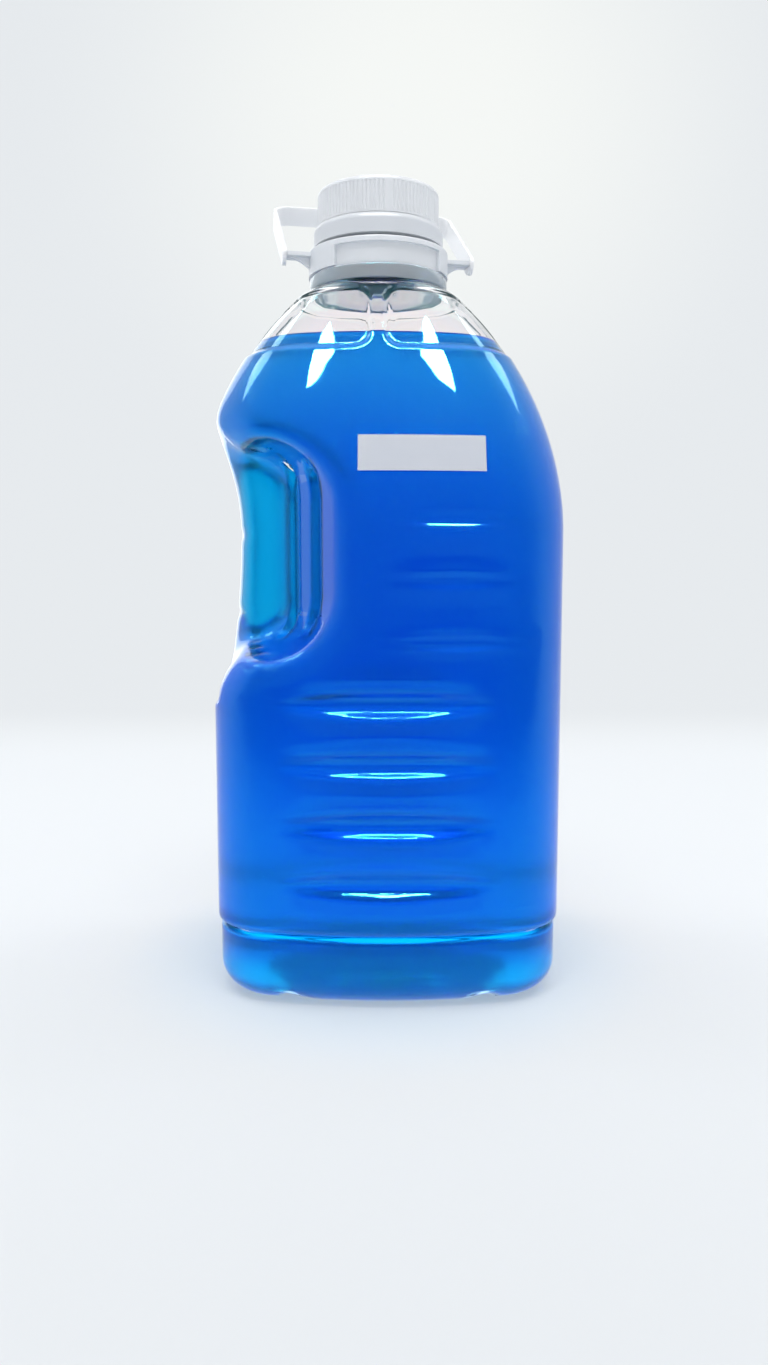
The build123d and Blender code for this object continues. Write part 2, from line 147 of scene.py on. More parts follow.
def hullSection(z):
    # Half width, half depth, corner and centre of the outline at each height: a base band with a round
    # foot, a waist groove, straight faces, then a dome whose reach and depth fall as (1 - share^power)^root.
    # On the left it keeps inside the body's side: (reach^-power + flat^-power)^(-1/power) is a soft minimum.
    b, d = bottle, dome
    bandEnd = b["waistHeight"] - b["waistGap"] / 2
    bodyStart = b["waistHeight"] + b["waistGap"] / 2
    foot = np.clip(b["baseCorner"] - z, 0, b["baseCorner"])
    footInset = b["baseCorner"] - np.sqrt(b["baseCorner"] ** 2 - foot ** 2)
    lip = b["waistLip"]
    below = np.clip(z - bandEnd + lip, 0, lip)
    above = np.clip(bodyStart + lip - z, 0, lip)
    lipInset = lip - np.sqrt(lip ** 2 - below ** 2)
    bandInset = (b["width"] - b["baseWidth"]) / 2 + footInset + lipInset
    bodyInset = lip - np.sqrt(lip ** 2 - above ** 2)
    coreInset = (b["width"] - b["baseWidth"]) / 2 + b["waistInset"]
    inset = np.where(z < bandEnd, bandInset, np.where(z > bodyStart, bodyInset, coreInset))
    share = np.clip((z - b["shoulderHeight"]) / (b["neckRootHeight"] - b["shoulderHeight"]), 0, 1)
    reachFall = (1 - share ** d["reachPower"]) ** d["reachRoot"]
    depthFall = (1 - share ** d["depthPower"]) ** d["depthRoot"]
    reach = b["neckRoot"] + (halfWidth - b["neckShift"] - b["neckRoot"]) * reachFall
    depth = b["neckRoot"] + (halfDepth - b["neckRoot"]) * depthFall
    flat = halfWidth + b["neckShift"]
    power = d["flatPower"]
    left = b["neckShift"] - (reach ** -power + flat ** -power) ** (-1 / power)
    right = b["neckShift"] + reach
    settle = smoothStep(-d["settle"], 0.0, z - b["shoulderHeight"])
    left = -halfWidth + (left + halfWidth) * settle
    half = (right - left) / 2 - inset
    corner = b["corner"] + (b["neckRoot"] - b["corner"]) * share ** d["cornerPower"] - inset
    return half, depth - inset, np.maximum(corner, d["leastCorner"]), (right + left) / 2


def barDistance(u, v, radius):
    # Distance to a lying round bar, from the two distances across its axis
    return np.hypot(u, v) - radius


def capsule(x, y, z, low, high, radius):
    # Distance to an upright bar with round ends
    return np.sqrt(x ** 2 + y ** 2 + (z - np.clip(z, low, high)) ** 2) - radius


def gripDistance(x, y, z):
    # Distance into the grip's pocket: a rounded opening whose walls flare from its floor to its mouth, with
    # upright flutes pressed into them. The slope makes up for the flare.
    g = grip
    floor = g["web"] / 2
    share = (np.abs(y) - floor) / (halfDepth - floor)
    spread = np.interp(share, g["wallShares"], g["wallSpread"])
    edge = g["floorEdge"] + (g["mouthEdge"] - g["floorEdge"]) * spread
    length = g["floorLength"] + (g["mouthLength"] - g["floorLength"]) * spread
    corner = g["floorCorner"] + (g["mouthCorner"] - g["floorCorner"]) * np.clip(spread, 0, 1)
    u = x - (edge - corner)
    v = np.abs(z - g["height"]) - (length / 2 - corner)
    inside = np.minimum(np.maximum(u, v), 0)
    plan = (inside + np.hypot(np.maximum(u, 0), np.maximum(v, 0)) - corner) * g["slope"]
    for place in g["flutes"]:
        wallShare = (place - g["floorEdge"]) / (g["mouthEdge"] - g["floorEdge"])
        toWall = np.abs(y) - (floor + (halfDepth - floor) * wallShare)
        flute = capsule(x - place, toWall, z, g["fluteBottom"], g["fluteTop"], g["fluteRadius"])
        plan = -smoothMax(-plan, -flute, g["fluteBlend"])
    return smoothMax(plan, floor - np.abs(y), g["floorBlend"])


def panelDepth(x, y, z):
    # Four sunken panels round the shoulder, parted by ribs that flare at both ends: inside a block with
    # round corners in each quarter, the skin is drawn in by the panel's depth
    p = panels
    middle = (p["top"] + p["bottom"]) / 2
    v = np.abs(z - middle) - (p["top"] - p["bottom"]) / 2 + p["corner"]
    across = p["rib"] / 2 + p["corner"] - np.minimum(np.abs(x - bottle["neckShift"]), np.abs(y))
    d = np.minimum(np.maximum(across, v), 0) + np.hypot(np.maximum(across, 0), np.maximum(v, 0)) - p["corner"]
    return p["depth"] * smoothStep(p["edge"], -p["edge"], d)


def bodyField(x, y, z):
    # Distance outside the bottle's skin, below nought inside it: the hull, less every pressed-in form
    half, depth, corner, centre = hullSection(z)
    field = outlineDistance(x, y, half, depth, corner, centre)
    r, g = ribs, grip
    axis = halfDepth - r["depth"] + r["radius"]
    for number in range(r["count"]):
        height = r["first"] + r["pitch"] * number
        field = smoothMax(field, -barDistance(np.abs(y) - axis, z - height, r["radius"]), r["blend"])
    # The short ribs run only to the right, turned with the face, and lean in with the shoulder
    tiltCos, tiltSin = math.cos(r["shortTilt"]), math.sin(r["shortTilt"])
    for number in range(r["count"], r["count"] + r["shortCount"]):
        height = r["first"] + r["pitch"] * number
        lean = max(height - r["leanFrom"], 0) * r["lean"]
        axis = halfDepth - r["shortFall"] - r["shortDepth"] + r["radius"] - lean
        along = np.abs(y) * tiltCos + (x - r["shortPlace"]) * tiltSin
        bar = barDistance(along - axis * tiltCos, z - height, r["radius"])
        skipped = np.where(x > r["shortStart"], 0.0, r["shortSkip"])
        field = smoothMax(field, -bar - skipped, r["shortBlend"])
    sideAxis = halfWidth - r["sideDepth"] + r["sideRadius"]
    for number in range(r["rightCount"]):
        height = r["rightFirst"] + r["rightPitch"] * number
        bar = barDistance(x - sideAxis, z - height, r["sideRadius"])
        field = smoothMax(field, -bar, r["sideBlend"])
    field = smoothMax(field, np.interp(z, *hollowCurve) - x - halfWidth, hollow["blend"])
    for number in range(r["leftCount"]):
        height = r["leftFirst"] + r["leftPitch"] * number
        sunk = np.interp(height, *hollowCurve)
        raised = 0.0 if sunk == 0 else r["leftRaise"]
        bar = barDistance(x + sideAxis - sunk + raised, z - height, r["sideRadius"])
        field = smoothMax(field, -bar, r["sideBlend"])
    edgeBlend = g["edgeBlend"] + g["sideBlend"] * smoothStep(g["sideStart"], g["sideEnd"], x)
    field = smoothMax(field, -gripDistance(x, y, z), edgeBlend)
    return field + panelDepth(x, y, z)


def hollowProfile():
    # The palm hollow's depth against height: a quarter sine from its lip up to its deepest place, and
    # another from there to nothing at its top
    h = hollow
    z = np.linspace(h["low"], h["high"], h["samples"])
    up = np.clip((z - h["bottom"]) / (h["deepest"] - h["bottom"]), 0, 1)
    down = np.clip((h["top"] - z) / (h["top"] - h["deepest"]), 0, 1)
    lower = h["lip"] + (h["depth"] - h["lip"]) * np.sin(up * math.pi / 2)
    lower = lower * smoothStep(h["bottom"], h["bottom"] + h["rise"], z)
    upper = h["depth"] * np.sin(down * math.pi / 2)
    return z, np.where(z < h["deepest"], lower, upper)


hollowCurve = hollowProfile()

# How finely the skin is sampled. Each crowded place has a height, a spread and an extra weight.
sampling = {
    "columns": 288, "outerRows": 226, "innerRows": 74, "liquidRows": 150, "fine": 4001, "halvings": 26,
    "startX": 5.0, "near": 8.0, "far": 110.0, "shiftFrom": 215.0, "outerStop": 0.2, "innerStop": 2.0,
    "gripTurn": math.radians(161.0), "gripSpread": math.radians(9.0), "gripExtra": 2.6,
    "crowded": ((3.0, 4.0, 1.5), (29.0, 3.0, 3.5), (139.0, 8.0, 1.6), (226.0, 9.0, 1.8), (261.0, 4.0, 1.8),
                (286.0, 5.0, 2.2)),
    "ribSpread": 5.0, "ribExtra": 1.3,
    "footRings": 16, "footPower": 0.8, "footRows": 6, "footGap": 0.35,
}


def solveSkin(z, turns, offset):
    # Walks out from the middle of each section along each turn, and halves the step until the field
    # meets the offset. Rows are heights and columns are turns.
    s = sampling
    lift = smoothStep(s["shiftFrom"], bottle["neckRootHeight"], z)
    startX = (s["startX"] + (bottle["neckShift"] - s["startX"]) * lift)[:, None]
    dirX, dirY = np.cos(turns)[None, :], np.sin(turns)[None, :]
    height = np.repeat(z[:, None], len(turns), 1)
    low = np.full(height.shape, s["near"])
    high = np.full(height.shape, s["far"])
    for _ in range(s["halvings"]):
        middle = (low + high) / 2
        outside = bodyField(startX + middle * dirX, middle * dirY, height) > offset
        high = np.where(outside, middle, high)
        low = np.where(outside, low, middle)
    reach = (low + high) / 2
    return startX + reach * dirX, reach * dirY, height


def evenShares(fine, weight, count):
    # Values at even shares of the weight's running total, so they crowd where it is high
    total = np.concatenate([[0], np.cumsum((weight[1:] + weight[:-1]) / 2)])
    return np.interp(np.linspace(0, total[-1], count), total, fine)


def spacedTurns():
    # Angles round the bottle, closer together where the grip's floor is seen edge-on
    s = sampling
    fine = np.linspace(-math.pi, math.pi, s["fine"])
    fromGrip = np.abs(np.abs(fine) - s["gripTurn"])
    weight = 1.0 + s["gripExtra"] * np.exp(-(fromGrip / s["gripSpread"]) ** 2)
    return evenShares(fine, weight, s["columns"] + 1)[:-1]


def spacedHeights(count, low, high):
    # Heights up the bottle, closer together at the foot, the waist, the ribs, the grip's ends and the panels
    s = sampling
    fine = np.linspace(low, high, s["fine"])
    weight = np.full(fine.shape, 1.0)
    crowded = list(s["crowded"])
    for number in range(ribs["count"] + ribs["shortCount"]):
        crowded.append((ribs["first"] + ribs["pitch"] * number, s["ribSpread"], s["ribExtra"]))
    for place, spread, extra in crowded:
        weight += extra * np.exp(-((fine - place) / spread) ** 2)
    return evenShares(fine, weight, count)


def baseHeight(x, y, lift):
    # The underside: a shallow dome in the middle and two crossed grooves that part the feet
    b = bottle
    radius = ((b["pushUpWidth"] / 2) ** 2 + b["pushUpRise"] ** 2) / (2 * b["pushUpRise"]) + lift
    away = np.minimum(np.hypot(x, y), radius)
    domed = np.sqrt(radius ** 2 - away ** 2) + b["pushUpRise"] - (radius - lift)
    height = smoothMax(domed, np.full(x.shape, lift), b["pushUpBlend"])
    for turn in (b["footTurn"], -b["footTurn"]):
        across = -x * math.sin(turn) + y * math.cos(turn)
        bar = b["footRadius"] + lift
        groove = np.sqrt(np.maximum(bar ** 2 - across ** 2, 0)) + b["footRise"] - b["footRadius"]
        height = smoothMax(height, groove, b["footBlend"])
    return height


def basePole(lift):
    # The point that closes the rows in the middle of the base
    startX = sampling["startX"]
    return [startX, 0, baseHeight(np.array([startX]), np.array([0.0]), lift)[0]]


def skinRows(rows, inset, top):
    # Rows of points from the middle of the base, out under the foot, and up the side to the top
    s = sampling
    turns = spacedTurns()
    z = spacedHeights(rows, inset + s["footGap"], top)
    x, y, height = solveSkin(z, turns, -inset)
    shares = np.linspace(0, 1, s["footRings"])[1:-1] ** s["footPower"]
    footX = shares[:, None] * x[0][None, :]
    footY = shares[:, None] * y[0][None, :]
    footZ = baseHeight(footX, footY, inset)
    # The grooves run out through the foot, so its lowest rows rise with them
    for row in range(1, s["footRows"]):
        height[row] = np.maximum(height[row], baseHeight(x[row], y[row], inset))
    height[0] = np.maximum(baseHeight(x[0], y[0], inset), inset + s["footGap"])
    allX = np.concatenate([footX, x])
    allY = np.concatenate([footY, y])
    allZ = np.concatenate([footZ, height])
    return np.stack([allX, allY, allZ], -1), turns


def neckRows(profile, turns):
    # Round rows about the neck's axis, one for each radius and height of the profile
    radius, height = np.array(profile).T
    x = bottle["neckShift"] + radius[:, None] * np.cos(turns)[None, :]
    y = radius[:, None] * np.sin(turns)[None, :]
    return np.stack([x, y, np.repeat(height[:, None], len(turns), 1)], -1)


def neckProfile():
    # Radius and height of the neck's corners, up the outside and then over the lip and down the bore. The
    # small offsets cut its corners, so that they shade as round ones.
    b = bottle
    root, top = b["neckRootHeight"], b["neckTop"]
    ringTop = root + b["ringHeight"]
    outside = [(b["neckRoot"] + 0.1, root), (b["ring"] - 0.2, root + 0.05), (b["ring"], root + 0.4),
               (b["ring"], ringTop - 0.9), (b["ring"] - 0.25, ringTop - 0.3), (b["ring"] - 0.8, ringTop),
               (b["neck"] + 0.5, ringTop), (b["neck"], ringTop + 0.5), (b["neck"], b["beadBottom"]),
               (b["bead"], b["beadBottom"]), (b["bead"], b["beadBottom"] + b["beadLand"]),
               (b["neck"], b["beadBottom"] + b["beadHeight"]), (b["neck"], top - 0.4)]
    inside = [(b["neck"] - 0.4, top), (b["bore"] + 0.4, top), (b["bore"], top - 0.4),
              (b["bore"], root + 2.0), (b["bore"] + 0.6, root + 0.5), (b["bore"] + 3.0, root - 0.8)]
    return outside, inside


def makeBottle():
    # One closed shell: the skin from the base to the neck root, the neck finish, over the lip, down the
    # bore and the inner wall to the inside of the base
    b, s = bottle, sampling
    outer, turns = skinRows(s["outerRows"], 0.0, b["neckRootHeight"] - s["outerStop"])
    inner, _ = skinRows(s["innerRows"], b["wall"], b["neckRootHeight"] - s["innerStop"])
    outside, inside = neckProfile()
    rows = np.concatenate([outer, neckRows(outside + inside, turns), inner[::-1]])
    count, columns = rows.shape[:2]
    points = rows.reshape(-1, 3) * mm
    poles = np.array([basePole(0.0), basePole(b["wall"])]) * mm
    first = poleFaces(0, columns, len(points), True)
    last = poleFaces((count - 1) * columns, columns, len(points) + 1, False)
    shell = addMesh("bottleShell", np.concatenate([points, poles]), ringFaces(count, columns), first, last)
    # The outside of the neck takes the second finish
    row = np.repeat(np.arange(count - 1), columns)
    onNeck = (row >= len(outer)) & (row < len(outer) + len(outside))
    finishes = np.concatenate([onNeck.astype(int), np.zeros(2 * columns, int)])
    shell.data.materials.append(clear)
    shell.data.materials.append(neckClear)
    shell.data.polygons.foreach_set("material_index", finishes)
    return shell


thread = {"bottom": 314.4, "pitch": 3.2, "turns": 2.2, "reach": 1.2, "half": 0.75, "fade": 0.12, "sunk": 0.1,
          "least": 0.0004, "rows": 260, "sides": 12}


def makeThread():
    # A rounded ridge wound round the neck: its middle climbs by the pitch each turn, and its height and
    # width sink to nothing at both ends
    t = thread
    sides = t["sides"]
    along = np.linspace(0, 1, t["rows"])
    around = np.linspace(0, 2 * math.pi, sides + 1)[:-1]
    size = np.sqrt(np.clip(np.minimum(along, 1 - along) / t["fade"], t["least"], 1))
    angle = along * t["turns"] * 2 * math.pi
    radius = bottle["neck"] - t["sunk"] + t["reach"] * size[:, None] * np.cos(around)[None, :]
    x = bottle["neckShift"] + radius * np.cos(angle)[:, None]
    y = radius * np.sin(angle)[:, None]
    climb = (along * t["turns"] * t["pitch"])[:, None]
    z = t["bottom"] + climb + t["half"] * size[:, None] * np.sin(around)[None, :]
    points = np.stack([x, y, z], -1).reshape(-1, 3)
    ends = np.array([points[:sides].mean(0), points[-sides:].mean(0)])
    first = poleFaces(0, sides, len(points), False)
    last = poleFaces(len(points) - sides, sides, len(points) + 1, True)
    tube = ringFaces(t["rows"], sides)[:, ::-1]
    return addMesh("neckThread", np.concatenate([points, ends]) * mm, tube, first, last)


liquid = {"fill": 266.5, "overlap": 0.15, "meniscus": 0.7, "rings": (0.985, 0.965, 0.94, 0.9, 0.7, 0.45, 0.2)}


def makeLiquid():
    # A closed solid that reaches a little into the wall, so no gap shows, with a flat top that climbs the
    # wall in a small meniscus
    rows, _ = skinRows(sampling["liquidRows"], bottle["wall"] - liquid["overlap"], liquid["fill"])
    edge = rows[-1]
    middle = edge.mean(0)
    top = middle + (edge - middle) * np.array(liquid["rings"])[:, None, None]
    top[..., 2] = liquid["fill"]
    rows[-1, :, 2] = liquid["fill"] + liquid["meniscus"]
    rows = np.concatenate([rows, top])
    count, columns = rows.shape[:2]
    points = rows.reshape(-1, 3) * mm
    poles = np.array([basePole(bottle["wall"]), [middle[0], 0, liquid["fill"]]]) * mm
    first = poleFaces(0, columns, len(points), True)
    last = poleFaces((count - 1) * columns, columns, len(points) + 1, False)
    return addMesh("blueLiquid", np.concatenate([points, poles]), ringFaces(count, columns), first, last)


def valueNode(nodes, kind, **settings):
    # A shader node with its plain settings
    node = nodes.new(kind)
    for key, value in settings.items():
        setattr(node, key, value)
    return node


def satinGroup():
    # Moulded plastic: a faint cloudy change of roughness and a very fine grain for the bump
    group = bpy.data.node_groups.new("satinMould", "ShaderNodeTree")
    for name, low in (("cloudScale", 60.0), ("grainScale", 2600.0)):
        socket = group.interface.new_socket(name, in_out="INPUT", socket_type="NodeSocketFloat")
        socket.default_value = low
    group.interface.new_socket("cloud", in_out="OUTPUT", socket_type="NodeSocketFloat")
    group.interface.new_socket("grain", in_out="OUTPUT", socket_type="NodeSocketFloat")
    nodes, links = group.nodes, group.links
    entry, leave = nodes.new("NodeGroupInput"), nodes.new("NodeGroupOutput")
    place = nodes.new("ShaderNodeTexCoord")
    cloud = valueNode(nodes, "ShaderNodeTexNoise")
    grain = valueNode(nodes, "ShaderNodeTexNoise")
    cloud.inputs["Detail"].default_value = 3.0
    grain.inputs["Detail"].default_value = 1.0
    links.new(place.outputs["Object"], cloud.inputs["Vector"])
    links.new(place.outputs["Object"], grain.inputs["Vector"])
    links.new(entry.outputs["cloudScale"], cloud.inputs["Scale"])
    links.new(entry.outputs["grainScale"], grain.inputs["Scale"])
    links.new(cloud.outputs["Fac"], leave.inputs["cloud"])
    links.new(grain.outputs["Fac"], leave.inputs["grain"])
    return group


satinMould = satinGroup()
print("groups made")


def newMaterial(name):
    # A material with its nodes, its links and its shader
    material = bpy.data.materials.new(name)
    material.use_nodes = True
    tree = material.node_tree
    return material, tree.nodes, tree.links, tree.nodes["Principled BSDF"]


def satinPlastic(name, colour, shade, roughness, grainScale, bump, glow=0.0):
    # White moulded plastic: the cloud shifts its colour and roughness a little, the grain bumps it, and
    # thin walls let some light through
    cloudShare = 0.06
    material, nodes, links, shader = newMaterial(name)
    mould = valueNode(nodes, "ShaderNodeGroup", node_tree=satinMould)
    mould.inputs["grainScale"].default_value = grainScale
    mix = valueNode(nodes, "ShaderNodeMix", data_type="RGBA")
    mix.inputs["A"].default_value = (*colour, 1)
    mix.inputs["B"].default_value = (*shade, 1)
    rough = nodes.new("ShaderNodeMapRange")
    rough.inputs["To Min"].default_value = roughness - cloudShare
    rough.inputs["To Max"].default_value = roughness + cloudShare
    bumpNode = nodes.new("ShaderNodeBump")
    bumpNode.inputs["Strength"].default_value = bump
    bumpNode.inputs["Distance"].default_value = 0.0002
    links.new(mould.outputs["cloud"], mix.inputs["Factor"])
    links.new(mix.outputs["Result"], shader.inputs["Base Color"])
    links.new(mould.outputs["cloud"], rough.inputs["Value"])
    links.new(rough.outputs["Result"], shader.inputs["Roughness"])
    links.new(mould.outputs["grain"], bumpNode.inputs["Height"])
    links.new(bumpNode.outputs["Normal"], shader.inputs["Normal"])
    shader.inputs["IOR"].default_value = 1.49
    shader.inputs["Subsurface Weight"].default_value = glow
    shader.inputs["Subsurface Radius"].default_value = (1.0, 1.0, 1.0)
    shader.inputs["Subsurface Scale"].default_value = 0.004
    return material


def clearPlastic(name, colour, roughness, transmission, waveScale, bump):
    # Blown PET: clear and glossy, with a blue tint to what it mirrors and the waviness of a blown wall
    material, nodes, links, shader = newMaterial(name)
    shader.inputs["Base Color"].default_value = (*colour, 1)
    shader.inputs["Roughness"].default_value = roughness
    shader.inputs["IOR"].default_value = 1.52
    shader.inputs["Specular Tint"].default_value = (0.07, 0.9, 1.0, 1)
    shader.inputs["Transmission Weight"].default_value = transmission
    place = nodes.new("ShaderNodeTexCoord")
    wave = nodes.new("ShaderNodeTexNoise")
    wave.inputs["Scale"].default_value = waveScale
    wave.inputs["Detail"].default_value = 1.0
    bumpNode = nodes.new("ShaderNodeBump")
    bumpNode.inputs["Strength"].default_value = bump
    bumpNode.inputs["Distance"].default_value = 0.002
    links.new(place.outputs["Object"], wave.inputs["Vector"])
    links.new(wave.outputs["Fac"], bumpNode.inputs["Height"])
    links.new(bumpNode.outputs["Normal"], shader.inputs["Normal"])
    return material


def blueDye():
    # The liquid: clear water that swallows red at once and green over the depth of the bottle
    material, nodes, links, shader = newMaterial("blueDye")
    shader.inputs["Base Color"].default_value = (1, 1, 1, 1)
    shader.inputs["Roughness"].default_value = 0.32
    shader.inputs["Specular Tint"].default_value = (0.0, 0.4, 0.9, 1)
    shader.inputs["IOR"].default_value = 1.34
    shader.inputs["Transmission Weight"].default_value = 1.0
    absorb = nodes.new("ShaderNodeVolumeAbsorption")
    absorb.inputs["Color"].default_value = (0.0, 0.892, 0.99, 1)
    absorb.inputs["Density"].default_value = 190.0
    links.new(absorb.outputs["Volume"], nodes["Material Output"].inputs["Volume"])
    return material


clear = clearPlastic("clearShell", (0.99, 0.995, 1.0), 0.018, 1.0, 38.0, 0.1)
neckClear = clearPlastic("neckClear", (0.90, 0.94, 0.99), 0.12, 0.66, 60.0, 0.08)
blue = blueDye()
capWhite = satinPlastic("capWhite", (0.78, 0.795, 0.815), (0.75, 0.77, 0.795), 0.38, 2600.0, 0.12, 0.35)
# The collar and the tamper band are the same white plastic as the strap and the cap, painted darker as shade
# for where they sit below the cap
collarWhitePaintedShade = satinPlastic("collarWhitePaintedShade", (0.74, 0.76, 0.785), (0.71, 0.735, 0.765), 0.42, 2200.0, 0.15, 0.4)
bandWhitePaintedShade = satinPlastic("bandWhitePaintedShade", (0.68, 0.70, 0.73), (0.65, 0.675, 0.71), 0.36, 2600.0, 0.1, 0.3)
strapWhite = satinPlastic("strapWhite", (0.94, 0.945, 0.95), (0.92, 0.925, 0.935), 0.42, 2200.0, 0.15, 0.6)
linerWhite = satinPlastic("linerWhite", (0.8, 0.8, 0.8), (0.75, 0.75, 0.76), 0.8, 1200.0, 0.3)
barePaper = satinPlastic("barePaper", (0.53, 0.555, 0.61), (0.50, 0.53, 0.59), 0.75, 3200.0, 0.2)
print("materials made")

shellPiece = makeBottle()
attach(shellPiece, "bottle_body")
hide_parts("bottle")
liquidPiece = makeLiquid()
liquidPiece.data.materials.append(blue)
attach(liquidPiece, "bottle_body")
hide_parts("detergent")
threadPiece = makeThread()
threadPiece.data.materials.append(neckClear)
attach(threadPiece, "bottle_body")
print("bottle and liquid made:", len(shellPiece.data.polygons), len(liquidPiece.data.polygons))


def dressNode(name, material):
    # A CAD node keeps its shape and takes a better finish
    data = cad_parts[name].data
    data.materials.clear()
    data.materials.append(material)


dressNode("screw_cap", capWhite)
dressNode("tamper_band", bandWhitePaintedShade)
dressNode("handle_collar", collarWhitePaintedShade)
dressNode("handle_strap", strapWhite)
dressNode("cap_liner", linerWhite)
dressNode("label", barePaper)
print("closure dressed")

# The floor and its backdrop: sizes in metres, colours, and how much of its plain colour each ray is shown.
# Besides the paper's own colours it holds painted shade toward the camera, a painted shadow round the
# bottle's foot, a painted pool of light on the backdrop, and painted light near the bottle that shows through
# glass.
stage = {
    "back": 1.3, "front": 2.2, "side": 2.6, "bend": 0.7, "height": 2.6, "bendSteps": 24,
    "colour": (0.90, 0.93, 0.96), "roughness": 0.6,
    "wall": (0.80, 0.83, 0.855), "table": (0.90, 0.92, 0.925), "paintedFrontShade": (0.61, 0.62, 0.62),
    "far": (0.84, 0.87, 0.90), "glow": (0.93, 0.95, 0.925), "dim": (0.06, 0.06, 0.06),
    "paintedGatheredLight": (0.95, 1.5, 1.18), "under": (1.2, 1.65, 2.35), "paintedShadow": (0.70, 0.84, 0.97),
    "seenShare": 0.42, "wallShare": 0.92, "throughShare": 0.95, "glossyShare": 0.8,
}
# Where those colours come in: from one y to another, or round a point with a near and a far distance
zones = {
    "wall": (0.45, 0.85), "paintedFrontShade": (0.1, -0.4), "dim": (-0.2, -0.6),
    "paintedShadow": ((0, 0, 0), 0.07, 0.13), "within": ((0, 0, 0), 1.35, 2.2), "glow": ((0.1, 1.95, 1.2), 0.1, 0.95),
    "paintedGatheredLight": ((0, 0.05, 0), 0.28, 0.62), "under": ((0, 0, 0), 0.06, 0.1),
}


def plug(tree, value, socket):
    # A socket takes a plain number or colour, or is linked to the output of another node
    if isinstance(value, bpy.types.NodeSocket):
        tree.links.new(value, socket)
    else:
        socket.default_value = (*value, 1) if isinstance(value, tuple) else value


def easedRange(tree, value, low, high):
    # Nought at the low value and one at the high one, eased at both ends
    ease = valueNode(tree.nodes, "ShaderNodeMapRange", interpolation_type="SMOOTHSTEP")
    ease.inputs["From Min"].default_value = low
    ease.inputs["From Max"].default_value = high
    plug(tree, value, ease.inputs["Value"])
    return ease.outputs["Result"]


def blended(tree, share, low, high):
    # The low value where the share is nought, the high one where it is one
    blend = tree.nodes.new("ShaderNodeMapRange")
    plug(tree, share, blend.inputs["Value"])
    plug(tree, low, blend.inputs["To Min"])
    plug(tree, high, blend.inputs["To Max"])
    return blend.outputs["Result"]


def distanceMask(tree, centre, near, far):
    # One within the near distance of a point on the stage, and none past the far one
    place = tree.nodes.new("ShaderNodeTexCoord")
    away = valueNode(tree.nodes, "ShaderNodeVectorMath", operation="DISTANCE")
    away.inputs[1].default_value = centre
    plug(tree, place.outputs["Object"], away.inputs[0])
    return easedRange(tree, away.outputs["Value"], far, near)


def mixColours(tree, factor, first, second):
    # Two colours by a factor; each is a plain colour or the output of another mix
    mix = valueNode(tree.nodes, "ShaderNodeMix", data_type="RGBA")
    plug(tree, factor, mix.inputs["Factor"])
    plug(tree, first, mix.inputs["A"])
    plug(tree, second, mix.inputs["B"])
    return mix.outputs["Result"]


def combined(tree, operation, first, second):
    # Two values brought together by a math node
    node = valueNode(tree.nodes, "ShaderNodeMath", operation=operation)
    plug(tree, first, node.inputs[0])
    plug(tree, second, node.inputs[1])
    return node.outputs[0]


def mixShaders(tree, factor, first, second):
    # The first shader where the factor is nought, the second where it is one
    mix = tree.nodes.new("ShaderNodeMixShader")
    for socket, value in zip(mix.inputs, (factor, first, second)):
        plug(tree, value, socket)
    return mix.outputs[0]


